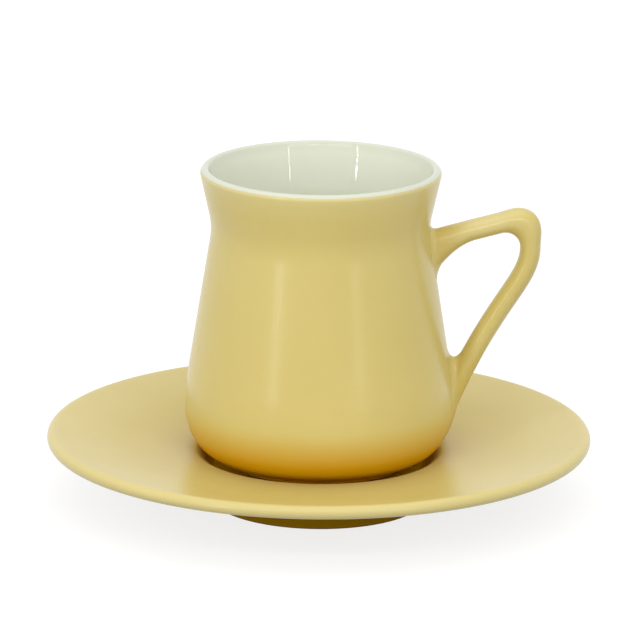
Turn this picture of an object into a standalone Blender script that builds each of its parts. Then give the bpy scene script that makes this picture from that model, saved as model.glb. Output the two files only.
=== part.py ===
"""A teacup with an open handle, standing in the well of its saucer.

The saucer stands on the XY plane with its axis on Z, and the handle points along +X.
Sizes are in metres. The cup's heights are measured from its own foot.
"""

import math

import bmesh
import bpy
from mathutils import Vector

MM = 0.001

# Turning, glazing and joining
TURNING_STEPS = 36
GLAZE_THICKNESS = 0.4 * MM
LAYER_GAP = 0.2 * MM
BARE_FOOT_HEIGHT = 0.5 * MM
SEAT_GAP = 0.3 * MM
MERGE_DISTANCE = 0.001 * MM

# Saucer
SAUCER_RADIUS = 72.5 * MM
SAUCER_RIM_THICKNESS = 3.5 * MM
SAUCER_FLANGE_RISE = 5.5 * MM
SAUCER_SHOULDER_THICKNESS = 6.4 * MM
SAUCER_FLOOR_THICKNESS = 4.0 * MM
SAUCER_RECESS_HEIGHT = 6.0 * MM
SAUCER_FOOT_RADIUS = 28.8 * MM
SAUCER_FOOT_WIDTH = 3.0 * MM
SAUCER_FOOT_FILLET = 2.5 * MM
WELL_DEPTH = 3.8 * MM
WELL_WALL_WIDTH = 6.0 * MM
WELL_CLEARANCE = 3.75 * MM

# Cup
CUP_HEIGHT = 80.9 * MM
CUP_WALL = 2.84 * MM
RIM_RADIUS = 31.9 * MM
NECK_RADIUS = 29.05 * MM
NECK_HEIGHT = 64.3 * MM
NECK_ARC_RADIUS = 20.0 * MM
BELLY_RADIUS = 35.72 * MM
BELLY_HEIGHT = 15.4 * MM
BELLY_ARC_RADIUS = 68.7 * MM
CUP_FLOOR_HEIGHT = 6.5 * MM
CUP_FLOOR_CURVE = 20.0 * MM
CUP_FOOT_RADIUS = 23.5 * MM
CUP_FOOT_HEIGHT = 2.0 * MM
CUP_FOOT_LEDGE = 0.5 * MM
CUP_FOOT_WIDTH = 3.0 * MM
CUP_RECESS_HEIGHT = 2.0 * MM
COLOUR_LINE_ANGLE = math.radians(18)

# Handle
HANDLE_THICKNESS = 5.5 * MM
HANDLE_WIDTH = 7.2 * MM
HANDLE_REACH = 29.3 * MM
HANDLE_UPPER_ROOT_HEIGHT = 61.3 * MM
HANDLE_LOWER_ROOT_HEIGHT = 13.7 * MM
HANDLE_LOWER_ROOT_INSET = 2.63 * MM
HANDLE_LOWER_ROOT_ANGLE = math.radians(22.1)
HANDLE_BAR_ANGLE = math.radians(15.1)
HANDLE_CORNER_RADIUS = 6.6 * MM
HANDLE_CORNER_FILL = 2.4 * MM
HANDLE_LEG_PULL_TOP = 10.0 * MM
HANDLE_LEG_PULL_ROOT = 35.0 * MM
HANDLE_WEB_DROP = 5.8 * MM
HANDLE_WEB_LENGTH = 12.0 * MM
HANDLE_WEB_POWER = 2.0
SLIP_THICKNESS = 0.6 * MM
WINDOW_CLEARANCE = 0.3 * MM

# Fineness of the curves
NECK_STEPS = 4
BELLY_STEPS = 2
LOWER_BELLY_STEPS = 6
FLOOR_STEPS = 5
LIP_STEPS = 5
RIM_STEPS = 6
WELL_STEPS = 4
FOOT_FILLET_STEPS = 2
WEB_STEPS = 4
CORNER_STEPS = 7
LEG_STEPS = 9
SECTION_SIDES = 12
SMOOTH_ANGLE = math.radians(40)

# Finishes
YELLOW_GLAZE = (0.62, 0.475, 0.15, 1.0)
WHITE_GLAZE = (0.72, 0.74, 0.62, 1.0)
PORCELAIN = (0.70, 0.66, 0.58, 1.0)
SLIP_CLAY = (0.64, 0.58, 0.47, 1.0)
SATIN_ROUGHNESS = 0.42
GLOSS_ROUGHNESS = 0.12
BARE_ROUGHNESS = 0.75

# Places that follow from the sizes
COAT_DEPTH = GLAZE_THICKNESS + LAYER_GAP
WELL_FLOOR_HEIGHT = SAUCER_RECESS_HEIGHT + SAUCER_FLOOR_THICKNESS
WELL_LIP_HEIGHT = WELL_FLOOR_HEIGHT + WELL_DEPTH
WELL_FLOOR_RADIUS = CUP_FOOT_RADIUS + WELL_CLEARANCE
SAUCER_UNDERSIDE_HEIGHT = WELL_LIP_HEIGHT - SAUCER_SHOULDER_THICKNESS
SAUCER_RIM_ROUND = SAUCER_RIM_THICKNESS / 2
SAUCER_RIM_CENTRE = Vector((
    SAUCER_RADIUS - SAUCER_RIM_ROUND,
    WELL_LIP_HEIGHT + SAUCER_FLANGE_RISE - SAUCER_RIM_ROUND,
))
CUP_SEAT_HEIGHT = WELL_FLOOR_HEIGHT + SEAT_GAP
LIP_ROUND = CUP_WALL / 2
LIP_CENTRE = Vector((RIM_RADIUS - LIP_ROUND, CUP_HEIGHT - LIP_ROUND))
NECK_CENTRE = Vector((NECK_RADIUS + NECK_ARC_RADIUS, NECK_HEIGHT))
BELLY_CENTRE = Vector((BELLY_RADIUS - BELLY_ARC_RADIUS, BELLY_HEIGHT))
COLOUR_LINE_GAP = LAYER_GAP / LIP_ROUND


def clear_scene():
    for obj in list(bpy.data.objects):
        bpy.data.objects.remove(obj)


def new_collection(name):
    collection = bpy.data.collections.new(name)
    bpy.context.scene.collection.children.link(collection)
    return collection


# Outlines in the radius and height plane

def oval(centre, half_width, half_height, start, end, steps):
    """Points of an ellipse from one angle to another, both ends included."""
    path = []
    for step in range(steps + 1):
        angle = start + (end - start) * step / steps
        path.append(centre + Vector((half_width * math.cos(angle), half_height * math.sin(angle))))
    return path


def arc(centre, radius, start, end, steps):
    return oval(centre, radius, radius, start, end, steps)


def moved_in(path, distance):
    """The path moved to the right of its direction, into the clay, with every run kept parallel."""
    runs = [(after - before).normalized() for before, after in zip(path, path[1:])]
    sides = [Vector((run.y, -run.x)) for run in runs]
    moved = []
    for index, point in enumerate(path):
        before = sides[max(index - 1, 0)]
        after = sides[min(index, len(sides) - 1)]
        moved.append(point + (before + after) * (distance / (1 + before.dot(after))))
    return moved


def coat(path, behind):
    """The outline of a glaze, from a visible path and the path behind it."""
    return path + behind[::-1]


def straight_run_angle(bulge_centre, bulge_radius, hollow_centre, hollow_radius):
    """Angle of the outward normal on the line that touches a bulge and a hollow."""
    across = hollow_centre - bulge_centre
    bearing = math.atan2(across.y, across.x)
    lean = math.acos((bulge_radius + hollow_radius) / across.length)
    return bearing - math.copysign(lean, bearing)


def touching_angle(point, centre, radius, side):
    """Angle at which a line from a point touches a circle, over it or under it."""
    across = point - centre
    bearing = math.atan2(across.y, across.x) % math.tau
    return bearing - side * math.acos(radius / across.length)


def turned(name, path, collection, closed):
    """A solid turned about Z from an outline."""
    mesh = bpy.data.meshes.new(name)
    corners = [(point.x, 0.0, point.y) for point in path]
    edges = [(index, index + 1) for index in range(len(path) - 1)]
    if closed:
        edges.append((len(path) - 1, 0))
    mesh.from_pydata(corners, edges, [])
    obj = bpy.data.objects.new(name, mesh)
    collection.objects.link(obj)
    screw = obj.modifiers.new("turning", "SCREW")
    screw.axis = "Z"
    screw.angle = math.tau
    screw.steps = TURNING_STEPS
    screw.render_steps = TURNING_STEPS
    screw.use_merge_vertices = True
    screw.merge_threshold = MERGE_DISTANCE
    screw.use_smooth_shade = True
    return obj


def finish(obj, colour, roughness, parent=None):
    """Gives a sub-part its own ceramic material, and its parent."""
    material = bpy.data.materials.new(obj.name)
    material.use_nodes = True
    material.diffuse_color = colour
    shader = material.node_tree.nodes["Principled BSDF"]
    shader.inputs["Base Color"].default_value = colour
    shader.inputs["Roughness"].default_value = roughness
    shader.inputs["Metallic"].default_value = 0.0
    obj.data.materials.append(material)
    obj.parent = parent
    return obj


def cut(obj, tool, operation):
    boolean = obj.modifiers.new(operation.lower(), "BOOLEAN")
    boolean.operation = operation
    boolean.solver = "EXACT"
    boolean.object = tool


def as_cutter(obj, parent):
    obj.hide_render = True
    obj.display_type = "WIRE"
    obj.parent = parent
    return obj


# Saucer

def well_path():
    """The well from its centre to its lip, its wall an even S."""
    path = [Vector((0.0, WELL_FLOOR_HEIGHT))]
    for step in range(WELL_STEPS + 1):
        share = step / WELL_STEPS
        climb = (1 - math.cos(math.pi * share)) / 2
        radius = WELL_FLOOR_RADIUS + WELL_WALL_WIDTH * share
        path.append(Vector((radius, WELL_FLOOR_HEIGHT + WELL_DEPTH * climb)))
    return path


def saucer_path():
    """The glazed side of the saucer, from the middle of the well round the rim to the foot."""
    well = well_path()
    foot_corner = Vector((
        SAUCER_FOOT_RADIUS + SAUCER_FOOT_FILLET,
        SAUCER_UNDERSIDE_HEIGHT - SAUCER_FOOT_FILLET,
    ))
    fillet = arc(foot_corner, SAUCER_FOOT_FILLET, math.pi / 2, math.pi, FOOT_FILLET_STEPS)
    over = touching_angle(well[-1], SAUCER_RIM_CENTRE, SAUCER_RIM_ROUND, 1)
    under = touching_angle(fillet[0], SAUCER_RIM_CENTRE, SAUCER_RIM_ROUND, -1)
    rim = arc(SAUCER_RIM_CENTRE, SAUCER_RIM_ROUND, over, under - math.tau, RIM_STEPS)
    return well + rim + fillet + [Vector((SAUCER_FOOT_RADIUS, BARE_FOOT_HEIGHT))]


def with_foot(path, foot_width, recess_height):
    """A body outline: the path carried down to the foot, across it and under the floor."""
    outer = path[-1].x
    inner = outer - foot_width
    foot = [Vector((outer, 0.0)), Vector((inner, 0.0)), Vector((inner, recess_height))]
    return path[:-1] + foot + [Vector((0.0, recess_height))]


def build_saucer(parts):
    visible = saucer_path()
    body = with_foot(moved_in(visible, COAT_DEPTH), SAUCER_FOOT_WIDTH, SAUCER_RECESS_HEIGHT)
    finish(turned("saucer_body", body, parts, closed=False), PORCELAIN, BARE_ROUGHNESS)
    glaze = coat(visible, moved_in(visible, GLAZE_THICKNESS))
    finish(turned("saucer_glaze", glaze, parts, closed=False), YELLOW_GLAZE, SATIN_ROUGHNESS)


# Cup

FLARE_ANGLE = straight_run_angle(LIP_CENTRE, LIP_ROUND, NECK_CENTRE, NECK_ARC_RADIUS)
CONE_ANGLE = straight_run_angle(BELLY_CENTRE, BELLY_ARC_RADIUS, NECK_CENTRE, NECK_ARC_RADIUS)


def wall_path(inset):
    """The wall from the top of the neck's curve to the widest point of the belly."""
    neck = arc(NECK_CENTRE, -(NECK_ARC_RADIUS + inset), FLARE_ANGLE, CONE_ANGLE, NECK_STEPS)
    belly = arc(BELLY_CENTRE, BELLY_ARC_RADIUS - inset, CONE_ANGLE, 0.0, BELLY_STEPS)
    return neck + belly


def inside_path():
    """The white side, from the middle of the floor up and over the lip to the colour line."""
    half_height = BELLY_HEIGHT - CUP_FLOOR_HEIGHT
    centre = Vector((BELLY_RADIUS - CUP_WALL - CUP_FLOOR_CURVE, BELLY_HEIGHT))
    floor = oval(centre, CUP_FLOOR_CURVE, half_height, -math.pi / 2, 0.0, FLOOR_STEPS)
    wall = wall_path(CUP_WALL)[::-1]
    end = COLOUR_LINE_ANGLE + COLOUR_LINE_GAP / 2
    lip = arc(LIP_CENTRE, LIP_ROUND, FLARE_ANGLE + math.pi, end, LIP_STEPS)
    return [Vector((0.0, CUP_FLOOR_HEIGHT))] + floor + wall[1:] + lip


def outside_path():
    """The yellow side, from the colour line on the lip down to the foot."""
    start = COLOUR_LINE_ANGLE - COLOUR_LINE_GAP / 2
    lip = arc(LIP_CENTRE, LIP_ROUND, start, FLARE_ANGLE, 1)
    half_width = BELLY_RADIUS - CUP_FOOT_RADIUS - CUP_FOOT_LEDGE
    half_height = BELLY_HEIGHT - CUP_FOOT_HEIGHT
    centre = Vector((BELLY_RADIUS - half_width, BELLY_HEIGHT))
    lower = oval(centre, half_width, half_height, 0.0, -math.pi / 2, LOWER_BELLY_STEPS)
    foot = [Vector((CUP_FOOT_RADIUS, CUP_FOOT_HEIGHT)), Vector((CUP_FOOT_RADIUS, BARE_FOOT_HEIGHT))]
    return lip + wall_path(0.0) + lower[1:] + foot


def build_cup(parts, lift):
    """The cup's body and its two coats. The outer coat is returned, still without windows."""
    inside = inside_path()
    outside = outside_path()
    body = with_foot(moved_in(inside + outside, COAT_DEPTH), CUP_FOOT_WIDTH, CUP_RECESS_HEIGHT)
    finish(turned("cup_body", body, parts, closed=False), PORCELAIN, BARE_ROUGHNESS, lift)
    behind = moved_in(inside + outside, GLAZE_THICKNESS)
    lining = coat(inside, behind[:len(inside)])
    finish(turned("cup_lining", lining, parts, closed=False), WHITE_GLAZE, GLOSS_ROUGHNESS, lift)
    glaze = coat(outside, behind[len(inside):])
    return finish(turned("cup_glaze", glaze, parts, closed=True), YELLOW_GLAZE, SATIN_ROUGHNESS, lift)


# Handle

def outside_radius(height):
    """Radius of the cup's outer side at a height."""
    path = outside_path()
    for above, below in zip(path, path[1:]):
        if below.y <= height <= above.y:
            share = (above.y - height) / (above.y - below.y)
            return above.x + (below.x - above.x) * share
    return CUP_FOOT_RADIUS


def heading(angle):
    return Vector((math.cos(angle), math.sin(angle)))


def bezier(start, pull_out, pull_in, end, share):
    """Place and direction on a cubic curve."""
    rest = 1 - share
    place = start * rest**3 + pull_out * 3 * rest**2 * share
    place += pull_in * 3 * rest * share**2 + end * share**3
    way = (pull_out - start) * rest**2 + (pull_in - pull_out) * 2 * rest * share
    way += (end - pull_in) * share**2
    return place, math.atan2(way.y, way.x)


def handle_stations():
    """Along the handle's middle: place, direction, swelling on the inner and on the outer side."""
    root = Vector((outside_radius(HANDLE_UPPER_ROOT_HEIGHT), HANDLE_UPPER_ROOT_HEIGHT))
    bar = heading(HANDLE_BAR_ANGLE)
    stations = []
    for step in range(WEB_STEPS + 1):
        share = step / WEB_STEPS
        web = HANDLE_WEB_DROP * (1 - share) ** HANDLE_WEB_POWER
        # The sections start square to the cup's wall and end square to the bar.
        way = CONE_ANGLE + (HANDLE_BAR_ANGLE - CONE_ANGLE) * share
        stations.append((root + bar * (HANDLE_WEB_LENGTH * share), way, web, 0.0))

    # The bar runs on until the corner's outer side stands at the handle's reach.
    side = NECK_RADIUS + HANDLE_REACH - HANDLE_THICKNESS / 2
    centre_x = side - HANDLE_CORNER_RADIUS
    run = (centre_x - root.x - HANDLE_CORNER_RADIUS * math.sin(HANDLE_BAR_ANGLE)) / bar.x
    down = heading(HANDLE_BAR_ANGLE - math.pi / 2)
    centre = root + bar * run + down * HANDLE_CORNER_RADIUS
    turn = HANDLE_BAR_ANGLE + math.pi / 2
    for step in range(CORNER_STEPS + 1):
        share = step / CORNER_STEPS
        angle = turn * (1 - share)
        place = centre + heading(angle) * HANDLE_CORNER_RADIUS
        fill = HANDLE_CORNER_FILL * math.sin(math.pi * share) ** 2
        stations.append((place, angle - math.pi / 2, 0.0, fill))

    top = stations[-1][0]
    low = Vector((outside_radius(HANDLE_LOWER_ROOT_HEIGHT), HANDLE_LOWER_ROOT_HEIGHT))
    low.x -= HANDLE_LOWER_ROOT_INSET
    pull_out = top - Vector((0.0, HANDLE_LEG_PULL_TOP))
    pull_in = low + heading(math.pi / 2 - HANDLE_LOWER_ROOT_ANGLE) * HANDLE_LEG_PULL_ROOT
    for step in range(1, LEG_STEPS + 1):
        place, way = bezier(top, pull_out, pull_in, low, step / LEG_STEPS)
        stations.append((place, way, 0.0, 0.0))

    # Both ends go straight on, as far as the cup's wall is thick.
    inward = Vector((-CUP_WALL, 0.0))
    first = (stations[0][0] + inward, *stations[0][1:])
    last = (stations[-1][0] + inward, *stations[-1][1:])
    return [first, *stations, last]


def section(bm, station, swell):
    """One oval ring of the handle, square to its direction."""
    place, way, inner, outer = station
    outward = heading(way + math.pi / 2)
    middle = place + outward * ((outer - inner) / 2)
    half_thickness = (HANDLE_THICKNESS + inner + outer) / 2 + swell
    half_width = HANDLE_WIDTH / 2 + swell
    ring = []
    for side in range(SECTION_SIDES):
        angle = math.tau * side / SECTION_SIDES
        point = middle + outward * (half_thickness * math.cos(angle))
        ring.append(bm.verts.new((point.x, half_width * math.sin(angle), point.y)))
    return ring


def handle_loft(name, stations, swell, collection):
    """A closed loft through oval rings, made thicker all round by the swell."""
    bm = bmesh.new()
    rings = [section(bm, station, swell) for station in stations]
    for ring, following in zip(rings, rings[1:]):
        for side in range(SECTION_SIDES):
            beside = (side + 1) % SECTION_SIDES
            bm.faces.new((ring[side], ring[beside], following[beside], following[side]))
    bm.faces.new(rings[0])
    bm.faces.new(rings[-1])
    bmesh.ops.recalc_face_normals(bm, faces=bm.faces)
    mesh = bpy.data.meshes.new(name)
    bm.to_mesh(mesh)
    bm.free()
    mesh.shade_smooth()
    mesh.set_sharp_from_angle(angle=SMOOTH_ANGLE)
    obj = bpy.data.objects.new(name, mesh)
    collection.objects.link(obj)
    return obj


def build_handle(parts, cutters, lift, cup_glaze):
    """The handle, the slip that joins its two roots, and the windows in the coat for them."""
    stations = handle_stations()
    outside = outside_path()
    slip_inner = GLAZE_THICKNESS
    slip_outer = slip_inner - SLIP_THICKNESS
    root_face = slip_outer - LAYER_GAP

    plug = moved_in(outside, root_face)
    plug = [Vector((0.0, plug[0].y))] + plug + [Vector((0.0, plug[-1].y))]
    root_cutter = as_cutter(turned("root_cutter", plug, cutters, closed=False), lift)
    handle = handle_loft("handle", stations, 0.0, parts)
    finish(handle, YELLOW_GLAZE, SATIN_ROUGHNESS, lift)
    cut(handle, root_cutter, "DIFFERENCE")

    band = moved_in(outside, slip_outer) + moved_in(outside, slip_inner)[::-1]
    slip_band = as_cutter(turned("slip_band", band, cutters, closed=True), lift)
    middle = len(stations) // 2
    for name, half in (("handle_upper_slip", stations[:middle]), ("handle_lower_slip", stations[middle:])):
        slip = finish(handle_loft(name, half, 0.0, parts), SLIP_CLAY, BARE_ROUGHNESS, lift)
        cut(slip, slip_band, "INTERSECT")

    window_cutter = as_cutter(handle_loft("window_cutter", stations, WINDOW_CLEARANCE, cutters), lift)
    cut(cup_glaze, window_cutter, "DIFFERENCE")


def build():
    clear_scene()
    parts = new_collection("teacup_and_saucer")
    cutters = new_collection("cutters")

    # The cup's pieces hang on an empty on the line along which the cup lifts out of the well.
    lift = bpy.data.objects.new("cup_lift_axis", None)
    lift.location = (0.0, 0.0, CUP_SEAT_HEIGHT)
    parts.objects.link(lift)

    build_saucer(parts)
    cup_glaze = build_cup(parts, lift)
    build_handle(parts, cutters, lift, cup_glaze)


build()
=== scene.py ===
"""Looks of the teacup and saucer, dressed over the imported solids.

Every piece is in metres, in the solids' own frame. The cup's heights are measured from its own foot.
"""

import math

import bpy
import numpy as np
from mathutils import Matrix, Vector


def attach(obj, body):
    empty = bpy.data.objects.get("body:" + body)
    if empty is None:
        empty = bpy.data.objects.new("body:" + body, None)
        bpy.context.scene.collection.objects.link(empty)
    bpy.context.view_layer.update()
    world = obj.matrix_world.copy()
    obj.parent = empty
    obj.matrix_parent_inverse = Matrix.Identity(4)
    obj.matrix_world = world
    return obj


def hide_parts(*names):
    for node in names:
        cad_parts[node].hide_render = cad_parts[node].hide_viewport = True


MM = 0.001
TOUCHING = 1e-9

# Turning, glazing and joining
TURNING_STEPS = 240
GLAZE_THICKNESS = 0.4 * MM
LAYER_GAP = 0.2 * MM
BARE_FOOT_HEIGHT = 0.5 * MM
SEAT_GAP = 0.3 * MM
COLOUR_SEAM = 0.02 * MM
LONGEST_RUN = 1.2 * MM
LONGEST_EASED_RUN = 0.4 * MM
SHARP_ANGLE = math.radians(38)

# Saucer
SAUCER_RADIUS = 72.5 * MM
SAUCER_RIM_THICKNESS = 3.5 * MM
SAUCER_FLANGE_RISE = 5.5 * MM
SAUCER_SHOULDER_THICKNESS = 6.4 * MM
SAUCER_FLOOR_THICKNESS = 4.0 * MM
SAUCER_RECESS_HEIGHT = 6.0 * MM
SAUCER_FOOT_RADIUS = 28.8 * MM
SAUCER_FOOT_WIDTH = 3.0 * MM
SAUCER_FOOT_FILLET = 2.5 * MM
WELL_DEPTH = 3.8 * MM
WELL_WALL_WIDTH = 6.0 * MM
WELL_CLEARANCE = 3.75 * MM

# Cup
CUP_HEIGHT = 80.9 * MM
CUP_WALL = 2.84 * MM
RIM_RADIUS = 31.9 * MM
NECK_RADIUS = 29.05 * MM
NECK_HEIGHT = 64.3 * MM
NECK_ARC_RADIUS = 20.0 * MM
BELLY_RADIUS = 35.72 * MM
BELLY_HEIGHT = 15.4 * MM
BELLY_ARC_RADIUS = 68.7 * MM
CUP_FLOOR_HEIGHT = 6.5 * MM
CUP_FLOOR_CURVE = 20.0 * MM
CUP_FOOT_RADIUS = 23.5 * MM
CUP_FOOT_HEIGHT = 2.0 * MM
CUP_FOOT_LEDGE = 0.5 * MM
CUP_FOOT_WIDTH = 3.0 * MM
CUP_RECESS_HEIGHT = 2.0 * MM
COLOUR_LINE_ANGLE = math.radians(30)
LIP_EASE = 0.30 * MM
LIP_EASE_LENGTH = 2.2 * MM

# Handle
HANDLE_THICKNESS = 5.5 * MM
HANDLE_WIDTH = 7.2 * MM
HANDLE_REACH = 29.3 * MM
HANDLE_UPPER_ROOT_HEIGHT = 61.3 * MM
HANDLE_LOWER_ROOT_HEIGHT = 13.7 * MM
HANDLE_LOWER_ROOT_INSET = 2.63 * MM
HANDLE_LOWER_ROOT_ANGLE = math.radians(22.1)
HANDLE_BAR_ANGLE = math.radians(15.1)
HANDLE_CORNER_RADIUS = 6.6 * MM
HANDLE_CORNER_FILL = 2.4 * MM
HANDLE_LEG_PULL_TOP = 10.0 * MM
HANDLE_LEG_PULL_ROOT = 35.0 * MM
HANDLE_WEB_DROP = 5.8 * MM
HANDLE_WEB_LENGTH = 12.0 * MM
HANDLE_WEB_POWER = 2.0
ROOT_FILLET = 1.7 * MM
CROTCH_FILLET = 5.3 * MM
ROOT_BURIED = 0.05 * MM
HANDLE_GRID = 0.36 * MM
HANDLE_MARGIN = 5.0 * MM
STATION_PULL = 0.02
PROJECTION_ROUNDS = 4
FLATTEST_SLOPE = 0.05
STEEPEST_PULL = 1e-12
FIELD_BATCH = 4000
PROBE = 0.02 * MM

# Fineness of the curves
NECK_STEPS = 40
BELLY_STEPS = 24
LOWER_BELLY_STEPS = 40
FLOOR_STEPS = 30
LIP_STEPS = 18
RIM_STEPS = 28
WELL_STEPS = 28
FOOT_FILLET_STEPS = 12
WEB_STEPS = 40
BAR_STEPS = 30
CORNER_STEPS = 60
LEG_STEPS = 120

# Finishes
YELLOW_DEEP = (0.615, 0.499, 0.160, 1.0)
YELLOW_LIGHT = (0.640, 0.523, 0.178, 1.0)
YELLOW_PALE = (0.720, 0.624, 0.292, 1.0)
# Painted shade: a darker amber on the saucer's foot and underside
YELLOW_FOOT_SHADE = (0.400, 0.215, 0.005, 1.0)
# Painted shade and painted reflected light, together with glaze that pools: a deep amber
YELLOW_POOLED_AND_SHADED = (0.640, 0.345, 0.006, 1.0)
WHITE_COOL = (0.728, 0.755, 0.625, 1.0)
WHITE_WARM = (0.751, 0.769, 0.640, 1.0)
WHITE_THIN = (0.640, 0.665, 0.545, 1.0)
CLAY_DARK = (0.640, 0.590, 0.500, 1.0)
CLAY_LIGHT = (0.730, 0.690, 0.610, 1.0)
SLIP_DARK = (0.590, 0.530, 0.420, 1.0)
SLIP_LIGHT = (0.670, 0.610, 0.500, 1.0)
# Bare clay darker towards the bottom of the foot
DARK_FOOT_CLAY = (0.300, 0.160, 0.050, 1.0)
SPECK_COLOUR = (0.420, 0.300, 0.080, 1.0)
SATIN_GLOSS = 0.38
BAR_GLOSS = 0.90
WHITE_GLOSS = 0.18
CLAY_GLOSS = 0.2

# Grain of the finishes. Noise: features a metre and finer layers. Spread: from two values to two others.
# Bump: strength and depth. Specks: cells a metre and size in a cell.
# The yellow's roughness stays under 0.273: ranges that reached 0.275 rendered with a coarse grain.
CLOUD_SPREAD = (0.35, 0.65, 0.0, 1.0)
SPECK_CORE = 0.6
YELLOW_CLOUD = (28, 3)
YELLOW_MOTTLE = (420, 1)
YELLOW_MOTTLE_SPREAD = (0.3, 0.75, 0.0, 0.03)
YELLOW_ROUGHNESS_SPREAD = (0.3, 0.7, 0.256, 0.272)
YELLOW_SPECKS = (260, 0.035)
YELLOW_PEEL = (900, 2)
YELLOW_PEEL_BUMP = (0.004, 0.06 * MM)
YELLOW_WAVES = (110, 2)
YELLOW_WAVE_BUMP = (0.008, 0.25 * MM)
WHITE_CLOUD = (35, 3)
WHITE_SPECKS = (300, 0.03)
WHITE_RIPPLE = (200, 1)
WHITE_ROUGHNESS_SPREAD = (0.3, 0.7, 0.015, 0.035)
WHITE_WAVES = (120, 2)
WHITE_WAVE_BUMP = (0.02, 0.3 * MM)
CLAY_GRAIN = (1800, 5)
CLAY_GRAIN_SPREAD = (0.45, 0.75, 0.0, 0.35)
CLAY_CLOUD = (60, 3)
CLAY_ROUGHNESS_SPREAD = (0.3, 0.7, 0.68, 0.85)
CLAY_BUMP = (0.35, 0.08 * MM)

# How much of a finish a place takes at most
RIM_THINNING = 0.40
LIP_THINNING = 0.40
EDGE_THINNING = 0.45
# Painted sheen on the top of the handle's bar, paler as if lit from above
BAR_PAINTED_SHEEN = 0.15
# Painted shade at the handle's roots, with glaze that pools there
ROOT_POOLING_AND_SHADE = 0.12
FLANGE_DRYNESS = 0.6

# Camera, in the photograph's place
CAMERA_DISTANCE = 1618.2 * MM
CAMERA_ELEVATION = math.radians(15.172)
CAMERA_ROLL = math.radians(0.494)
CAMERA_AIM = Vector((0.06 * MM, 0.0, 49.44 * MM))
CAMERA_LENS = 342.5
CAMERA_SENSOR = 36.0

# Floor and light
FLOOR_HALF_SIZE = 4.0
FLOOR_COLOUR = (0.40, 0.40, 0.40, 1.0)
BACKDROP_COLOUR = (1.0, 1.0, 1.0, 1.0)
WORLD_STRENGTH = 0.84
FLOOR_GLOW = 0.80
FLOOR_SHADE = (0.27, 0.27, 0.27, 1.0)
LAMP_FRAME_DISTANCE = 0.90
LEFT_LAMPS_ANGLE = math.radians(-40)
RIGHT_LAMPS_ANGLE = math.radians(35.5)
LAMPS_A_SIDE = 12
LOWEST_LAMP = 0.056
HIGHEST_LAMP = 0.507
LAMP_RADIUS = 0.014
LEFT_LAMP_POWER = 0.33
RIGHT_LAMP_POWER = 0.18
TOP_BAR_HEIGHT = 0.51
TOP_BAR_LENGTH = 1.0
TOP_BAR_WIDTH = 0.03
TOP_BAR_POWER = 1.7
OVERHEAD_PLACE = (0.0, -0.05, 1.05)
OVERHEAD_SIZE = 1.1
OVERHEAD_POWER = 2.0
SIDE_WALL_PLACE = (-1.0, -0.5, 0.45)
SIDE_WALL_SIZE = 0.9
SIDE_WALL_POWER = 0.8

# Places that follow from the sizes
COAT_DEPTH = GLAZE_THICKNESS + LAYER_GAP
WELL_FLOOR_HEIGHT = SAUCER_RECESS_HEIGHT + SAUCER_FLOOR_THICKNESS
WELL_LIP_HEIGHT = WELL_FLOOR_HEIGHT + WELL_DEPTH
WELL_FLOOR_RADIUS = CUP_FOOT_RADIUS + WELL_CLEARANCE
SAUCER_UNDERSIDE_HEIGHT = WELL_LIP_HEIGHT - SAUCER_SHOULDER_THICKNESS
SAUCER_RIM_ROUND = SAUCER_RIM_THICKNESS / 2
SAUCER_RIM_CENTRE = np.array([
    SAUCER_RADIUS - SAUCER_RIM_ROUND,
    WELL_LIP_HEIGHT + SAUCER_FLANGE_RISE - SAUCER_RIM_ROUND,
])
CUP_SEAT_HEIGHT = WELL_FLOOR_HEIGHT + SEAT_GAP
LIP_ROUND = CUP_WALL / 2
LIP_CENTRE = np.array([RIM_RADIUS - LIP_ROUND, CUP_HEIGHT - LIP_ROUND])
NECK_CENTRE = np.array([NECK_RADIUS + NECK_ARC_RADIUS, NECK_HEIGHT])
BELLY_CENTRE = np.array([BELLY_RADIUS - BELLY_ARC_RADIUS, BELLY_HEIGHT])

# Where the finishes change: from none to all, in the solids' frame
LIP_LEVEL = CUP_SEAT_HEIGHT + LIP_CENTRE[1]
EDGE_THIN_DEPTH = 6.0 * MM
# The cup's lower belly takes painted shade and painted reflected light, deepening towards the foot
CUP_POOL_AND_SHADE_HEIGHTS = (CUP_SEAT_HEIGHT + 17.5 * MM, CUP_SEAT_HEIGHT + 7.5 * MM)
CUP_DARKER_FOOT_HEIGHTS = (CUP_SEAT_HEIGHT + 2.6 * MM, CUP_SEAT_HEIGHT + 2.2 * MM)
SAUCER_DARKER_FOOT_HEIGHTS = (2.6 * MM, 2.2 * MM)
# Painted shade at the handle's roots is full this far off the wall and fades out by the reach below
ROOT_POOL_AND_SHADE_START = 2.5 * MM
ROOT_POOL_AND_SHADE_REACH = 7.0 * MM
BAR_RADII = (34.0 * MM, 42.0 * MM)
CORNER_RADII = (56.0 * MM, 47.0 * MM)
BAR_HEIGHTS = (CUP_SEAT_HEIGHT + 56.0 * MM, CUP_SEAT_HEIGHT + 62.0 * MM)
# The saucer's well takes painted shade and painted reflected light, with glaze that pools there
WELL_POOL_AND_SHADE_INNER = (4.0 * MM, 25.0 * MM)
WELL_POOL_AND_SHADE_OUTER = (34.0 * MM, 28.5 * MM)
WELL_DRY_RADII = (37.0 * MM, 34.0 * MM)
FLANGE_DRY_RADII = (67.0 * MM, 52.0 * MM)
# Painted shade on the saucer's foot and the underside near it
FOOT_SHADE_HEIGHTS = (SAUCER_UNDERSIDE_HEIGHT + 1.5 * MM, SAUCER_UNDERSIDE_HEIGHT)
FOOT_SHADE_RADII = (42.0 * MM, 32.0 * MM)

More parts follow.
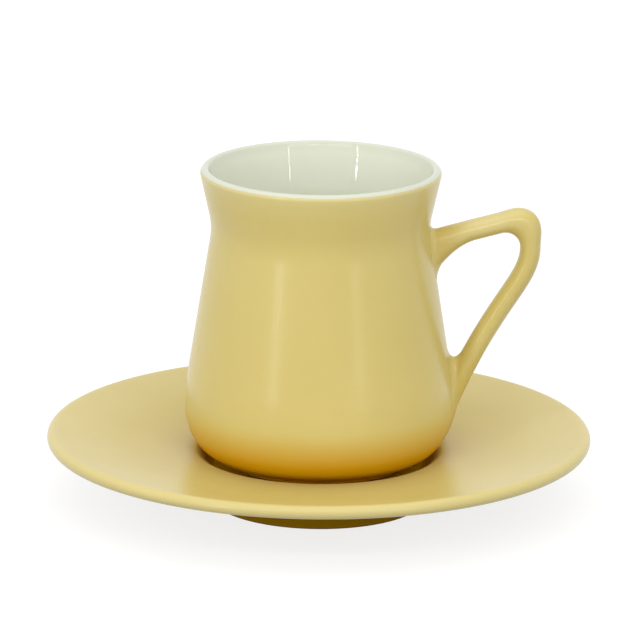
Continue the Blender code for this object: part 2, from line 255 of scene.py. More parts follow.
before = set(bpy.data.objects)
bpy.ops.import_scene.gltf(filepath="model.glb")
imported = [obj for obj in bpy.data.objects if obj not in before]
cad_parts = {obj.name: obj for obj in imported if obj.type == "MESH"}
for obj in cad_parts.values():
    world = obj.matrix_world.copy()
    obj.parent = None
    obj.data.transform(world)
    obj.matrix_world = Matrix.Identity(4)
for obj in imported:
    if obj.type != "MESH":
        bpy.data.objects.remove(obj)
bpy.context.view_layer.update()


# Outlines in the radius and height plane

def oval(centre, half_width, half_height, start, end, steps):
    angles = np.linspace(start, end, steps + 1)
    return np.asarray(centre) + np.column_stack([half_width * np.cos(angles), half_height * np.sin(angles)])


def arc(centre, radius, start, end, steps):
    return oval(centre, radius, radius, start, end, steps)


def bearing(vector):
    return math.atan2(vector[1], vector[0])


def heading(angle):
    return np.array([math.cos(angle), math.sin(angle)])


def moved_in(path, distance):
    """The path moved to the right of its direction, into the clay, with every run kept parallel."""
    runs = np.diff(path, axis=0)
    runs /= np.linalg.norm(runs, axis=1)[:, None]
    sides = np.column_stack([runs[:, 1], -runs[:, 0]])
    before = np.vstack([sides[:1], sides])
    after = np.vstack([sides, sides[-1:]])
    spread = 1 + np.sum(before * after, axis=1)
    return path + (before + after) * (distance / spread)[:, None]


def without_repeats(path):
    kept = np.concatenate([[True], np.linalg.norm(np.diff(path, axis=0), axis=1) > TOUCHING])
    return path[kept]


def with_even_runs(path, longest):
    """The path with its long straight runs divided, so that shading stays true to each run."""
    points = [path[:1]]
    for start, end in zip(path[:-1], path[1:]):
        parts = max(1, math.ceil(np.linalg.norm(end - start) / longest))
        shares = np.arange(1, parts + 1)[:, None] / parts
        points.append(start + (end - start) * shares)
    return np.vstack(points)


def straight_run_angle(bulge_centre, bulge_radius, hollow_centre, hollow_radius):
    """Angle of the outward normal on the line that touches a bulge and a hollow."""
    across = hollow_centre - bulge_centre
    lean = math.acos((bulge_radius + hollow_radius) / np.linalg.norm(across))
    return bearing(across) - math.copysign(lean, bearing(across))


def touching_angle(point, centre, radius, side):
    """Angle at which a line from a point touches a circle, over it or under it."""
    across = point - centre
    return bearing(across) % math.tau - side * math.acos(radius / np.linalg.norm(across))


FLARE_ANGLE = straight_run_angle(LIP_CENTRE, LIP_ROUND, NECK_CENTRE, NECK_ARC_RADIUS)
CONE_ANGLE = straight_run_angle(BELLY_CENTRE, BELLY_ARC_RADIUS, NECK_CENTRE, NECK_ARC_RADIUS)


def saucer_path():
    """The glazed side of the saucer, from the middle of the well round the rim to the foot."""
    shares = np.linspace(0, 1, WELL_STEPS + 1)
    climb = (1 - np.cos(np.pi * shares)) / 2
    wall = np.column_stack([
        WELL_FLOOR_RADIUS + WELL_WALL_WIDTH * shares,
        WELL_FLOOR_HEIGHT + WELL_DEPTH * climb,
    ])
    well = np.vstack([[0.0, WELL_FLOOR_HEIGHT], wall])
    foot_corner = np.array([
        SAUCER_FOOT_RADIUS + SAUCER_FOOT_FILLET,
        SAUCER_UNDERSIDE_HEIGHT - SAUCER_FOOT_FILLET,
    ])
    fillet = arc(foot_corner, SAUCER_FOOT_FILLET, math.pi / 2, math.pi, FOOT_FILLET_STEPS)
    over = touching_angle(well[-1], SAUCER_RIM_CENTRE, SAUCER_RIM_ROUND, 1)
    under = touching_angle(fillet[0], SAUCER_RIM_CENTRE, SAUCER_RIM_ROUND, -1)
    rim = arc(SAUCER_RIM_CENTRE, SAUCER_RIM_ROUND, over, under - math.tau, RIM_STEPS)
    return np.vstack([well, rim, fillet, [SAUCER_FOOT_RADIUS, BARE_FOOT_HEIGHT]])


def wall_path(inset):
    """The wall from the top of the neck's curve to the widest point of the belly."""
    neck = arc(NECK_CENTRE, -(NECK_ARC_RADIUS + inset), FLARE_ANGLE, CONE_ANGLE, NECK_STEPS)
    belly = arc(BELLY_CENTRE, BELLY_ARC_RADIUS - inset, CONE_ANGLE, 0.0, BELLY_STEPS)
    return np.vstack([neck, belly])


def eased_lip(path, edge):
    """The inside with the lip's inner edge eased outwards, in a soft curve instead of a straight flare."""
    path = with_even_runs(without_repeats(path), LONGEST_EASED_RUN)
    along = np.concatenate([[0], np.cumsum(np.linalg.norm(np.diff(path, axis=0), axis=1))])
    start = along[np.argmin(np.linalg.norm(path - edge, axis=1))]
    end = along[np.argmax(path[:, 1])]
    on_wall = np.exp(np.minimum(along - start, 0) / LIP_EASE_LENGTH)
    share = np.clip((along - start) / (end - start), 0, 1)
    slope = (end - start) / LIP_EASE_LENGTH
    on_lip = 2 * share**3 - 3 * share**2 + 1 + slope * (share**3 - 2 * share**2 + share)
    path[:, 0] += LIP_EASE * np.where(along < start, on_wall, on_lip)
    path[0, 0] = 0.0
    return path


def inside_path():
    """The white side, from the middle of the floor up and over the lip to the colour line."""
    centre = np.array([BELLY_RADIUS - CUP_WALL - CUP_FLOOR_CURVE, BELLY_HEIGHT])
    half_height = BELLY_HEIGHT - CUP_FLOOR_HEIGHT
    floor = oval(centre, CUP_FLOOR_CURVE, half_height, -math.pi / 2, 0.0, FLOOR_STEPS)
    wall = wall_path(CUP_WALL)[::-1]
    end = COLOUR_LINE_ANGLE + COLOUR_SEAM / LIP_ROUND
    lip = arc(LIP_CENTRE, LIP_ROUND, FLARE_ANGLE + math.pi, end, LIP_STEPS)
    return eased_lip(np.vstack([[0.0, CUP_FLOOR_HEIGHT], floor, wall[1:], lip]), lip[0])


def outside_path():
    """The yellow side, from the colour line on the lip down to the foot."""
    lip = arc(LIP_CENTRE, LIP_ROUND, COLOUR_LINE_ANGLE, FLARE_ANGLE, LIP_STEPS)
    half_width = BELLY_RADIUS - CUP_FOOT_RADIUS - CUP_FOOT_LEDGE
    half_height = BELLY_HEIGHT - CUP_FOOT_HEIGHT
    centre = np.array([BELLY_RADIUS - half_width, BELLY_HEIGHT])
    lower = oval(centre, half_width, half_height, 0.0, -math.pi / 2, LOWER_BELLY_STEPS)
    foot = np.array([[CUP_FOOT_RADIUS, CUP_FOOT_HEIGHT], [CUP_FOOT_RADIUS, BARE_FOOT_HEIGHT]])
    return np.vstack([lip, wall_path(0.0), lower[1:], foot])


def with_foot(path, foot_width, recess_height):
    """A body outline: the path carried down to the foot, across it and under the floor."""
    outer = path[-1, 0]
    inner = outer - foot_width
    foot = np.array([[outer, 0.0], [inner, 0.0], [inner, recess_height], [0.0, recess_height]])
    return np.vstack([path[:-1], foot])


# Meshes

def new_piece(name, vertices, faces, body):
    mesh = bpy.data.meshes.new(name)
    mesh.from_pydata([tuple(vertex) for vertex in vertices], [], faces)
    mesh.validate()
    mesh.update()
    mesh.shade_smooth()
    piece = bpy.data.objects.new(name, mesh)
    bpy.context.scene.collection.objects.link(piece)
    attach(piece, body)
    return piece


def turned(name, path, height, body, closed):
    """A skin turned about Z from an outline, lifted to its height."""
    path = without_repeats(path)
    if closed:
        path = np.vstack([path, path[:1]])
    path = with_even_runs(path, LONGEST_RUN)
    if closed:
        path = path[:-1]
    angles = np.arange(TURNING_STEPS) * (math.tau / TURNING_STEPS)
    vertices = []
    rows = []
    for radius, level in path:
        first = len(vertices)
        if radius < TOUCHING:
            vertices.append((0.0, 0.0, level + height))
            rows.append([first] * TURNING_STEPS)
            continue
        for angle in angles:
            vertices.append((radius * math.cos(angle), radius * math.sin(angle), level + height))
        rows.append(list(range(first, first + TURNING_STEPS)))
    pairs = list(zip(rows, rows[1:]))
    if closed:
        pairs.append((rows[-1], rows[0]))
    faces = []
    for row, following in pairs:
        for step in range(TURNING_STEPS):
            beside = (step + 1) % TURNING_STEPS
            corners = [row[step], following[step], following[beside], row[beside]]
            face = list(dict.fromkeys(corners))
            if len(face) > 2:
                faces.append(face)
    piece = new_piece(name, vertices, faces, body)
    piece.data.set_sharp_from_angle(angle=SHARP_ANGLE)
    return piece


# The handle, as the skin of a distance field with rounded roots

def bezier(start, pull_out, pull_in, end, shares):
    rest = 1 - shares
    place = start * rest**3 + pull_out * 3 * rest**2 * shares
    place = place + pull_in * 3 * rest * shares**2 + end * shares**3
    way = (pull_out - start) * rest**2 + (pull_in - pull_out) * 2 * rest * shares
    way = way + (end - pull_in) * shares**2
    return place, np.arctan2(way[:, 1], way[:, 0])


OUTSIDE = without_repeats(outside_path())[::-1]
OUTSIDE_HEIGHTS, LEVELS = np.unique(OUTSIDE[:, 1], return_index=True)
OUTSIDE_RADII = OUTSIDE[LEVELS, 0]
OUTSIDE_SLOPES = np.gradient(OUTSIDE_RADII, OUTSIDE_HEIGHTS)


def outside_radius(height):
    return np.interp(height, OUTSIDE_HEIGHTS, OUTSIDE_RADII)


def handle_stations():
    """Along the handle's middle: place, direction, swelling on the inner and on the outer side."""
    root = np.array([outside_radius(HANDLE_UPPER_ROOT_HEIGHT), HANDLE_UPPER_ROOT_HEIGHT])
    bar = heading(HANDLE_BAR_ANGLE)
    side = NECK_RADIUS + HANDLE_REACH - HANDLE_THICKNESS / 2
    centre_x = side - HANDLE_CORNER_RADIUS
    run = (centre_x - root[0] - HANDLE_CORNER_RADIUS * math.sin(HANDLE_BAR_ANGLE)) / bar[0]
    centre = root + bar * run + heading(HANDLE_BAR_ANGLE - math.pi / 2) * HANDLE_CORNER_RADIUS

    # The web starts inside the wall and its sections turn from square to the wall to square to the bar.
    start = -CUP_WALL / HANDLE_WEB_LENGTH
    shares = np.linspace(start, 1, WEB_STEPS, endpoint=False)[:, None]
    web = HANDLE_WEB_DROP * (1 - shares) ** HANDLE_WEB_POWER
    turning = CONE_ANGLE + (HANDLE_BAR_ANGLE - CONE_ANGLE) * np.clip(shares, 0, 1)
    pieces = [np.hstack([root + bar * HANDLE_WEB_LENGTH * shares, turning, web, 0 * web])]

    shares = np.linspace(HANDLE_WEB_LENGTH, run, BAR_STEPS, endpoint=False)[:, None]
    blank = 0 * shares
    pieces.append(np.hstack([root + bar * shares, blank + HANDLE_BAR_ANGLE, blank, blank]))

    shares = np.linspace(0, 1, CORNER_STEPS, endpoint=False)[:, None]
    angles = (HANDLE_BAR_ANGLE + math.pi / 2) * (1 - shares)
    places = centre + HANDLE_CORNER_RADIUS * np.hstack([np.cos(angles), np.sin(angles)])
    fill = HANDLE_CORNER_FILL * np.sin(np.pi * shares) ** 2
    pieces.append(np.hstack([places, angles - math.pi / 2, 0 * fill, fill]))

    top = centre + np.array([HANDLE_CORNER_RADIUS, 0.0])
    low = np.array([outside_radius(HANDLE_LOWER_ROOT_HEIGHT), HANDLE_LOWER_ROOT_HEIGHT])
    low[0] -= HANDLE_LOWER_ROOT_INSET
    pull_out = top - np.array([0.0, HANDLE_LEG_PULL_TOP])
    pull_in = low + heading(math.pi / 2 - HANDLE_LOWER_ROOT_ANGLE) * HANDLE_LEG_PULL_ROOT
    places, ways = bezier(top, pull_out, pull_in, low, np.linspace(0, 1, LEG_STEPS)[:, None])
    blank = 0 * ways[:, None]
    pieces.append(np.hstack([places, ways[:, None], blank, blank]))
    return np.vstack(pieces)


STATIONS = handle_stations()


def at_stations(x, height):
    """The station whose section holds each point, filled in between two stations."""
    places = STATIONS[:, :2]
    ways = np.column_stack([np.cos(STATIONS[:, 2]), np.sin(STATIONS[:, 2])])
    across_x = x[:, None] - places[:, 0]
    across_z = height[:, None] - places[:, 1]
    along = across_x * ways[:, 0] + across_z * ways[:, 1]
    cost = along**2 + STATION_PULL * (across_x**2 + across_z**2)
    nearest = np.argmin(cost, axis=1)
    row = np.arange(len(x))
    ahead = along[row, nearest] > 0
    first = np.clip(np.where(ahead, nearest, nearest - 1), 0, len(STATIONS) - 2)
    before = along[row, first]
    after = along[row, first + 1]
    share = np.clip(before / np.where(before - after == 0, 1, before - after), 0, 1)
    return STATIONS[first] + (STATIONS[first + 1] - STATIONS[first]) * share[:, None]


def wall_distance(points):
    radius = np.hypot(points[:, 0], points[:, 1])
    slope = np.interp(points[:, 2], OUTSIDE_HEIGHTS, OUTSIDE_SLOPES)
    return (radius - outside_radius(points[:, 2])) / np.sqrt(1 + slope**2)


def rooted_distance(points, station):
    """Distance to the handle and the cup's wall together, with a fillet in every corner between them."""
    outward = station[:, 2] + math.pi / 2
    rise = (points[:, 0] - station[:, 0]) * np.cos(outward)
    rise = rise + (points[:, 2] - station[:, 1]) * np.sin(outward)
    rise = rise - (station[:, 4] - station[:, 3]) / 2
    half_thickness = (HANDLE_THICKNESS + station[:, 3] + station[:, 4]) / 2
    half_width = HANDLE_WIDTH / 2
    first = np.hypot(rise / half_thickness, points[:, 1] / half_width)
    second = np.hypot(rise / half_thickness**2, points[:, 1] / half_width**2)
    handle = first * (first - 1) / np.maximum(second, STEEPEST_PULL)

    wall = wall_distance(points)
    inner = np.clip(-rise / np.maximum(np.hypot(rise, points[:, 1]), TOUCHING), 0, 1)
    low = np.clip((NECK_HEIGHT - points[:, 2]) / (NECK_HEIGHT - BELLY_HEIGHT), 0, 1)
    fillet = ROOT_FILLET + (CROTCH_FILLET - ROOT_FILLET) * inner**2 * low
    corner = np.hypot(np.maximum(fillet - handle, 0), np.maximum(fillet - wall, 0))
    return np.maximum(fillet, np.minimum(handle, wall)) - corner


def field(points):
    values = np.empty(len(points))
    for start in range(0, len(points), FIELD_BATCH):
        batch = slice(start, start + FIELD_BATCH)
        part = points[batch]
        values[batch] = rooted_distance(part, at_stations(part[:, 0], part[:, 2]))
    return values


def field_slope(points):
    slopes = []
    for axis in range(3):
        step = np.zeros(3)
        step[axis] = PROBE
        slopes.append((field(points + step) - field(points - step)) / (2 * PROBE))
    return np.column_stack(slopes)


def field_grid():
    low = STATIONS[:, :2].min(axis=0) - HANDLE_MARGIN
    high = STATIONS[:, :2].max(axis=0) + HANDLE_MARGIN
    half_width = HANDLE_WIDTH / 2 + HANDLE_MARGIN
    xs = np.arange(low[0], high[0], HANDLE_GRID)
    ys = np.arange(-half_width, half_width + HANDLE_GRID, HANDLE_GRID)
    zs = np.arange(low[1], high[1], HANDLE_GRID)
    flat_x, flat_z = np.meshgrid(xs, zs, indexing="ij")
    stations = at_stations(flat_x.ravel(), flat_z.ravel())
    values = np.empty((len(xs), len(ys), len(zs)))
    for row, y in enumerate(ys):
        points = np.column_stack([flat_x.ravel(), np.full(flat_x.size, y), flat_z.ravel()])
        values[:, row, :] = rooted_distance(points, stations).reshape(flat_x.shape)
    return xs, ys, zs, values


def skin_of_field(xs, ys, zs, values):
    """One vertex in each cell that the skin crosses, and one face across each edge that it crosses."""
    inside = values < 0
    corners = [(i, j, k) for i in (0, 1) for j in (0, 1) for k in (0, 1)]
    size = [length - 1 for length in values.shape]
    total = np.zeros((*size, 3))
    count = np.zeros(size)
    for axis in range(3):
        step = np.eye(3, dtype=int)[axis]
        for corner in corners:
            if corner[axis]:
                continue
            near = tuple(slice(c, c + n) for c, n in zip(corner, size))
            far = tuple(slice(c + s, c + s + n) for c, s, n in zip(corner, step, size))
            crossed = inside[near] != inside[far]
            share = values[near] / np.where(crossed, values[near] - values[far], 1)
            place = np.array(corner, float) + share[..., None] * step
            total += np.where(crossed[..., None], place, 0)
            count += crossed
    used = count > 0
    index = np.full(size, -1)
    index[used] = np.arange(used.sum())
    cells = np.argwhere(used)
    spots = cells + total[used] / count[used][:, None]
    origin = np.array([xs[0], ys[0], zs[0]])
    vertices = origin + spots * HANDLE_GRID

    faces = []
    for axis in range(3):
        beside = [other for other in range(3) if other != axis]
        one, two = np.eye(3, dtype=int)[beside]
        step = np.eye(3, dtype=int)[axis]
        span = [length - int(s) for length, s in zip(values.shape, step)]
        near = tuple(slice(0, n) for n in span)
        far = tuple(slice(int(s), int(s) + n) for s, n in zip(step, span))
        for edge in np.argwhere(inside[near] != inside[far]):
            if min(edge[beside]) == 0 or np.any(edge - one - two < -step) or np.any(edge >= size):
                continue
            faces.append([index[tuple(edge - shift)] for shift in (0 * one, one, one + two, two)])
    return vertices, np.array(faces)


def facing_out(vertices, faces, normals):
    """The faces with their corners in the order that makes them face along the normals."""
    one, two, three, four = (vertices[faces[:, corner]] for corner in range(4))
    facing = np.sum(np.cross(three - one, four - two) * normals[faces].sum(axis=1), axis=1)
    return np.where(facing[:, None] < 0, faces[:, ::-1], faces)


def build_handle():
    vertices, faces = skin_of_field(*field_grid())
    for _ in range(PROJECTION_ROUNDS):
        slope = field_slope(vertices)
        length = np.maximum(np.sum(slope**2, axis=1), FLATTEST_SLOPE)
        vertices = vertices - slope * (field(vertices) / length)[:, None]

    # Only the handle and its fillets are kept, and their edge is buried in the cup's coat.
    height = wall_distance(vertices)
    faces = faces[height[faces].max(axis=1) > ROOT_BURIED]
    used, faces = np.unique(faces, return_inverse=True)
    faces = faces.reshape(-1, 4)
    vertices = vertices[used]
    buried = height[used] < ROOT_BURIED
    radius = np.hypot(vertices[:, 0], vertices[:, 1])
    vertices[buried, :2] *= (1 - 2 * ROOT_BURIED / radius[buried])[:, None]
    normals = field_slope(vertices)
    normals /= np.linalg.norm(normals, axis=1)[:, None]
    faces = facing_out(vertices, faces, normals)
    vertices[:, 2] += CUP_SEAT_HEIGHT
    piece = new_piece("handle_skin", vertices, faces.tolist(), "cup")
    piece.data.normals_split_custom_set_from_vertices([tuple(normal) for normal in normals])
    return piece


# Materials

class Tree:
    """A material's nodes, added and linked in one call each."""

    def __init__(self, name):
        self.material = bpy.data.materials.new(name)
        self.material.use_nodes = True
        self.nodes = self.material.node_tree.nodes
        self.links = self.material.node_tree.links
        self.shader = self.nodes["Principled BSDF"]
        self.coordinates = self.nodes.new("ShaderNodeTexCoord").outputs["Object"]

    def link(self, source, target):
        self.links.new(source, target)

    def noise(self, scale, detail):
        node = self.nodes.new("ShaderNodeTexNoise")
        node.inputs["Scale"].default_value = scale
        node.inputs["Detail"].default_value = detail
        self.link(self.coordinates, node.inputs["Vector"])
        return node.outputs["Fac"]

    def ranged(self, source, low, high, new_low, new_high):
        node = self.nodes.new("ShaderNodeMapRange")
        names = ("From Min", "From Max", "To Min", "To Max")
        for name, value in zip(names, (low, high, new_low, new_high)):
            node.inputs[name].default_value = value
        self.link(source, node.inputs["Value"])
        return node.outputs["Result"]

    def mixed(self, factor, first, second):
        node = self.nodes.new("ShaderNodeMix")
        node.data_type = "RGBA"
        self.link(factor, node.inputs["Factor"])
        for name, value in (("A", first), ("B", second)):
            socket = [s for s in node.inputs if s.name == name and s.type == "RGBA"][0]
            if isinstance(value, tuple):
                socket.default_value = value
            else:
                self.link(value, socket)
        return [s for s in node.outputs if s.type == "RGBA"][0]

    def specks(self, scale, size):
        node = self.nodes.new("ShaderNodeTexVoronoi")
        node.inputs["Scale"].default_value = scale
        self.link(self.coordinates, node.inputs["Vector"])
        return self.ranged(node.outputs["Distance"], size * SPECK_CORE, size, 1.0, 0.0)

    def attribute(self, name):
        node = self.nodes.new("ShaderNodeAttribute")
        node.attribute_name = name
        return node.outputs["Fac"]

    def bumped(self, layers):
        """Bumps laid over one another: source, strength and depth of each."""
        normal = None
        for source, strength, depth in layers:
            node = self.nodes.new("ShaderNodeBump")
            node.inputs["Strength"].default_value = strength
            node.inputs["Distance"].default_value = depth
            self.link(source, node.inputs["Height"])
            if normal is not None:
                self.link(normal, node.inputs["Normal"])
            normal = node.outputs["Normal"]
        self.link(normal, self.shader.inputs["Normal"])


def satin_yellow():
    tree = Tree("satin_yellow_glaze")
    cloud = tree.ranged(tree.noise(*YELLOW_CLOUD), *CLOUD_SPREAD)
    mottle = tree.noise(*YELLOW_MOTTLE)
    colour = tree.mixed(cloud, YELLOW_DEEP, YELLOW_LIGHT)
    colour = tree.mixed(tree.ranged(mottle, *YELLOW_MOTTLE_SPREAD), colour, YELLOW_PALE)
    # Paler, thinner glaze over edges, and a painted sheen on the handle's bar
    colour = tree.mixed(tree.attribute("thin_glaze_and_sheen"), colour, YELLOW_PALE)
    # Painted shade and painted reflected light, with glaze that pools, as a deeper amber
    colour = tree.mixed(tree.attribute("pooled_and_shade"), colour, YELLOW_POOLED_AND_SHADED)
    # Painted shade on the saucer's foot
    colour = tree.mixed(tree.attribute("under"), colour, YELLOW_FOOT_SHADE)
    colour = tree.mixed(tree.specks(*YELLOW_SPECKS), colour, SPECK_COLOUR)
    tree.link(colour, tree.shader.inputs["Base Color"])
    tree.link(tree.ranged(mottle, *YELLOW_ROUGHNESS_SPREAD), tree.shader.inputs["Roughness"])
    tree.link(tree.attribute("gloss"), tree.shader.inputs["Specular IOR Level"])
    tree.bumped([
        (tree.noise(*YELLOW_PEEL), *YELLOW_PEEL_BUMP),
        (tree.noise(*YELLOW_WAVES), *YELLOW_WAVE_BUMP),
    ])
    return tree.material


def gloss_white():
    tree = Tree("gloss_white_glaze")
    cloud = tree.ranged(tree.noise(*WHITE_CLOUD), *CLOUD_SPREAD)
    colour = tree.mixed(cloud, WHITE_COOL, WHITE_WARM)
    colour = tree.mixed(tree.attribute("thin_glaze_and_sheen"), colour, WHITE_THIN)
    colour = tree.mixed(tree.specks(*WHITE_SPECKS), colour, CLAY_DARK)
    tree.link(colour, tree.shader.inputs["Base Color"])
    ripple = tree.noise(*WHITE_RIPPLE)
    tree.link(tree.ranged(ripple, *WHITE_ROUGHNESS_SPREAD), tree.shader.inputs["Roughness"])
    tree.shader.inputs["Specular IOR Level"].default_value = WHITE_GLOSS
    tree.bumped([(tree.noise(*WHITE_WAVES), *WHITE_WAVE_BUMP)])
    return tree.material


def matt_clay(name, dark, light):
    tree = Tree(name)
    grain = tree.noise(*CLAY_GRAIN)
    cloud = tree.ranged(tree.noise(*CLAY_CLOUD), *CLOUD_SPREAD)
    colour = tree.mixed(cloud, dark, light)
    colour = tree.mixed(tree.ranged(grain, *CLAY_GRAIN_SPREAD), colour, dark)
    # Darker bare clay towards the bottom of the foot
    colour = tree.mixed(tree.attribute("darker_foot"), colour, DARK_FOOT_CLAY)
    tree.link(colour, tree.shader.inputs["Base Color"])
    tree.link(tree.ranged(grain, *CLAY_ROUGHNESS_SPREAD), tree.shader.inputs["Roughness"])
    tree.shader.inputs["Specular IOR Level"].default_value = CLAY_GLOSS
    tree.bumped([(grain, *CLAY_BUMP)])
    return tree.material


def paint(piece, name, weight):
    """Stores at each vertex how much of a finish it takes, from 0 to 1."""
    values = [weight(math.hypot(vertex.co.x, vertex.co.y), vertex.co.z) for vertex in piece.data.vertices]
    layer = piece.data.attributes.new(name, "FLOAT", "POINT")
    layer.data.foreach_set("value", values)


def finish_piece(piece, material, slot, *nodes):
    piece.data.materials.append(material)
    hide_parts(*nodes)


def ramp(value, low, high):
    return min(1.0, max(0.0, (value - low) / (high - low)))


# How the glaze lies: thinner over edges, deeper in colour where it pools, with painted shade and painted
# reflected light in the hollows, painted shade on the saucer's foot and a painted sheen on the handle's bar

def saucer_thin(radius, height):
    return RIM_THINNING * ramp(radius, SAUCER_RADIUS - SAUCER_RIM_THICKNESS, SAUCER_RADIUS)


# Painted shade and painted reflected light in the well, with glaze that pools there
def saucer_well_pooling_and_shade(radius, height):
    return ramp(radius, *WELL_POOL_AND_SHADE_INNER) * ramp(radius, *WELL_POOL_AND_SHADE_OUTER)


# Painted shade on the saucer's foot and the underside near it
def saucer_foot_shade(radius, height):
    return ramp(height, *FOOT_SHADE_HEIGHTS) * ramp(radius, *FOOT_SHADE_RADII)


def saucer_gloss(radius, height):
    dry = max(ramp(radius, *WELL_DRY_RADII), FLANGE_DRYNESS * ramp(radius, *FLANGE_DRY_RADII))
    return SATIN_GLOSS * (1 - dry)


def cup_lip_thin(radius, height):
    return ramp(height, LIP_LEVEL - LIP_ROUND, LIP_LEVEL + LIP_ROUND)


def cup_edge_thin(radius, height):
    edge = EDGE_THINNING * ramp(height, LIP_LEVEL - EDGE_THIN_DEPTH, LIP_LEVEL + LIP_ROUND)
    return LIP_THINNING * cup_lip_thin(radius, height) + edge


# Painted shade and painted reflected light on the cup's lower belly, with glaze that pools there
def cup_pooling_and_shade(radius, height):
    return ramp(height, *CUP_POOL_AND_SHADE_HEIGHTS)


def cup_gloss(radius, height):
    return SATIN_GLOSS * (1 - cup_pooling_and_shade(radius, height))


def on_bar(radius, height):
    return ramp(radius, *BAR_RADII) * ramp(radius, *CORNER_RADII) * ramp(height, *BAR_HEIGHTS)


# Painted sheen on the top of the handle's bar
def handle_painted_sheen(radius, height):
    return BAR_PAINTED_SHEEN * on_bar(radius, height)


# Painted shade in the creases at the handle's roots, with glaze that pools there, and the cup's painted
# shade lower down
def handle_pooling_and_shade(radius, height):
    off_wall = radius - outside_radius(height - CUP_SEAT_HEIGHT)
    near_root = ramp(off_wall, 0.0, ROOT_POOL_AND_SHADE_START) * ramp(off_wall, ROOT_POOL_AND_SHADE_REACH, ROOT_POOL_AND_SHADE_START)
    return max(cup_pooling_and_shade(radius, height), ROOT_POOLING_AND_SHADE * near_root)


def handle_gloss(radius, height):
    return cup_gloss(radius, height) + (BAR_GLOSS - SATIN_GLOSS) * on_bar(radius, height)


# Darker towards the bottom of the foot
def saucer_darker_foot(radius, height):
    return ramp(height, *SAUCER_DARKER_FOOT_HEIGHTS)


def cup_darker_foot(radius, height):
    return ramp(height, *CUP_DARKER_FOOT_HEIGHTS)


yellow = satin_yellow()
white = gloss_white()
clay = matt_clay("bare_porcelain", CLAY_DARK, CLAY_LIGHT)
slip = matt_clay("joining_slip", SLIP_DARK, SLIP_LIGHT)

# Saucer
saucer_outline = without_repeats(saucer_path())
saucer_clay = turned(
    "saucer_clay",
    with_foot(moved_in(saucer_outline, COAT_DEPTH), SAUCER_FOOT_WIDTH, SAUCER_RECESS_HEIGHT),
    0.0, "saucer", closed=False,
)
paint(saucer_clay, "darker_foot", saucer_darker_foot)
finish_piece(saucer_clay, clay, "porcelain", "saucer_body")
saucer_coat = turned(
    "saucer_coat",
    np.vstack([saucer_outline, moved_in(saucer_outline, GLAZE_THICKNESS)[::-1]]),
    0.0, "saucer", closed=False,
)
paint(saucer_coat, "thin_glaze_and_sheen", saucer_thin)
paint(saucer_coat, "pooled_and_shade", saucer_well_pooling_and_shade)
paint(saucer_coat, "under", saucer_foot_shade)
paint(saucer_coat, "gloss", saucer_gloss)
finish_piece(saucer_coat, yellow, "yellow_glaze", "saucer_glaze")

# Cup
inside = without_repeats(inside_path())
outside = without_repeats(outside_path())
both = np.vstack([inside, outside])
cup_clay = turned(
    "cup_clay", with_foot(moved_in(both, COAT_DEPTH), CUP_FOOT_WIDTH, CUP_RECESS_HEIGHT),
    CUP_SEAT_HEIGHT, "cup", closed=False,
)
paint(cup_clay, "darker_foot", cup_darker_foot)
finish_piece(cup_clay, clay, "porcelain", "cup_body")
behind = moved_in(both, GLAZE_THICKNESS)
cup_inner_coat = turned(
    "cup_inner_coat", np.vstack([inside, behind[:len(inside)][::-1]]),
    CUP_SEAT_HEIGHT, "cup", closed=False,
)
paint(cup_inner_coat, "thin_glaze_and_sheen", cup_lip_thin)
finish_piece(cup_inner_coat, white, "white_glaze", "cup_lining")
cup_outer_coat = turned(
    "cup_outer_coat", np.vstack([outside, behind[len(inside):][::-1]]),
    CUP_SEAT_HEIGHT, "cup", closed=True,
)
paint(cup_outer_coat, "thin_glaze_and_sheen", cup_edge_thin)
paint(cup_outer_coat, "pooled_and_shade", cup_pooling_and_shade)
paint(cup_outer_coat, "gloss", cup_gloss)
finish_piece(cup_outer_coat, yellow, "yellow_glaze", "cup_glaze")

# Handle
handle_skin = build_handle()
paint(handle_skin, "thin_glaze_and_sheen", handle_painted_sheen)
paint(handle_skin, "pooled_and_shade", handle_pooling_and_shade)
paint(handle_skin, "gloss", handle_gloss)
finish_piece(handle_skin, yellow, "yellow_glaze", "handle")
for name in ("handle_upper_slip", "handle_lower_slip"):
    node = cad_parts[name]
    node.data.materials.clear()
    node.data.materials.append(slip)


# Floor, light and camera

def seen(tree):
    """1 for rays that show the background: from the camera, or through gloss or glass."""
    path = tree.nodes.new("ShaderNodeLightPath")
    total = path.outputs["Is Camera Ray"]
    for name in ("Is Glossy Ray", "Is Transmission Ray"):
        node = tree.nodes.new("ShaderNodeMath")
        node.operation = "MAXIMUM"
        tree.links.new(total, node.inputs[0])
        tree.links.new(path.outputs[name], node.inputs[1])
        total = node.outputs["Value"]
    return total


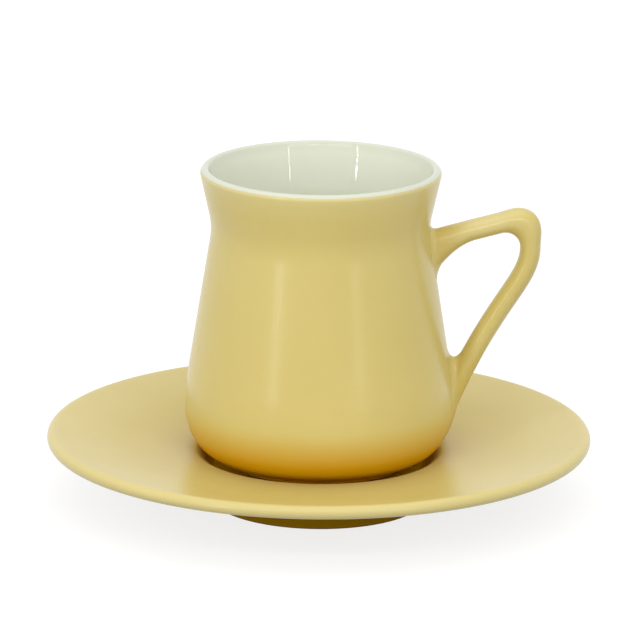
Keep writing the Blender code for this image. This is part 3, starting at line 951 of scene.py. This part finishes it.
def build_floor():
    mesh = bpy.data.meshes.new("floor")
    half = FLOOR_HALF_SIZE
    corners = [(-half, -half, 0.0), (half, -half, 0.0), (half, half, 0.0), (-half, half, 0.0)]
    mesh.from_pydata(corners, [], [(0, 1, 2, 3)])
    floor = bpy.data.objects.new("floor", mesh)
    bpy.context.scene.collection.objects.link(floor)
    material = bpy.data.materials.new("pale_floor")
    material.use_nodes = True
    tree = material.node_tree
    tree.nodes.clear()
    plain = tree.nodes.new("ShaderNodeBsdfDiffuse")
    plain.inputs["Color"].default_value = FLOOR_COLOUR
    shaded = tree.nodes.new("ShaderNodeBsdfDiffuse")
    shaded.inputs["Color"].default_value = FLOOR_SHADE
    glow = tree.nodes.new("ShaderNodeEmission")
    glow.inputs["Strength"].default_value = FLOOR_GLOW
    added = tree.nodes.new("ShaderNodeAddShader")
    tree.links.new(shaded.outputs["BSDF"], added.inputs[0])
    tree.links.new(glow.outputs["Emission"], added.inputs[1])
    chosen = tree.nodes.new("ShaderNodeMixShader")
    tree.links.new(seen(tree), chosen.inputs["Fac"])
    tree.links.new(plain.outputs["BSDF"], chosen.inputs[1])
    tree.links.new(added.outputs["Shader"], chosen.inputs[2])
    output = tree.nodes.new("ShaderNodeOutputMaterial")
    tree.links.new(chosen.outputs["Shader"], output.inputs["Surface"])
    mesh.materials.append(material)


def build_world():
    world = bpy.data.worlds.new("tent")
    bpy.context.scene.world = world
    world.use_nodes = True
    tree = world.node_tree
    tree.nodes.clear()
    light = tree.nodes.new("ShaderNodeBackground")
    light.inputs["Strength"].default_value = WORLD_STRENGTH
    backdrop = tree.nodes.new("ShaderNodeBackground")
    for node in (light, backdrop):
        node.inputs["Color"].default_value = BACKDROP_COLOUR
    chosen = tree.nodes.new("ShaderNodeMixShader")
    tree.links.new(seen(tree), chosen.inputs["Fac"])
    tree.links.new(light.outputs["Background"], chosen.inputs[1])
    tree.links.new(backdrop.outputs["Background"], chosen.inputs[2])
    output = tree.nodes.new("ShaderNodeOutputWorld")
    tree.links.new(chosen.outputs["Shader"], output.inputs["Surface"])


def add_lamp(name, kind, power, place):
    data = bpy.data.lights.new(name, kind)
    data.energy = power
    lamp = bpy.data.objects.new(name, data)
    lamp.location = place
    bpy.context.scene.collection.objects.link(lamp)
    return lamp


def add_panel(name, power, place, length, width):
    panel = add_lamp(name, "AREA", power, place)
    panel.data.shape = "RECTANGLE"
    panel.data.size = length
    panel.data.size_y = width
    panel.rotation_euler = (CAMERA_AIM - panel.location).to_track_quat("-Z", "Y").to_euler()


def build_lamps():
    """An arch of small lamps round the camera's opening, and the tent's soft walls."""
    for angle, power in ((LEFT_LAMPS_ANGLE, LEFT_LAMP_POWER), (RIGHT_LAMPS_ANGLE, RIGHT_LAMP_POWER)):
        x = LAMP_FRAME_DISTANCE * math.sin(angle)
        y = -LAMP_FRAME_DISTANCE * math.cos(angle)
        for height in np.linspace(LOWEST_LAMP, HIGHEST_LAMP, LAMPS_A_SIDE):
            lamp = add_lamp("frame_lamp", "POINT", power, (x, y, height))
            lamp.data.shadow_soft_size = LAMP_RADIUS
    front = -LAMP_FRAME_DISTANCE * math.cos(RIGHT_LAMPS_ANGLE)
    add_panel("top_bar", TOP_BAR_POWER, (0.0, front, TOP_BAR_HEIGHT), TOP_BAR_LENGTH, TOP_BAR_WIDTH)
    add_panel("overhead", OVERHEAD_POWER, OVERHEAD_PLACE, OVERHEAD_SIZE, OVERHEAD_SIZE)
    add_panel("side_wall", SIDE_WALL_POWER, SIDE_WALL_PLACE, SIDE_WALL_SIZE, SIDE_WALL_SIZE)


def build_camera():
    data = bpy.data.cameras.new("camera")
    data.sensor_width = CAMERA_SENSOR
    data.lens = CAMERA_LENS
    camera = bpy.data.objects.new("camera", data)
    back = Vector((0.0, -math.cos(CAMERA_ELEVATION), math.sin(CAMERA_ELEVATION)))
    turn = (-back).to_track_quat("-Z", "Y").to_matrix().to_4x4()
    place = Matrix.Translation(CAMERA_AIM + back * CAMERA_DISTANCE)
    camera.matrix_world = place @ turn @ Matrix.Rotation(CAMERA_ROLL, 4, "Z")
    bpy.context.scene.collection.objects.link(camera)
    bpy.context.scene.camera = camera


build_floor()
build_world()
build_lamps()
build_camera()
bpy.context.scene.view_settings.view_transform = "Standard"
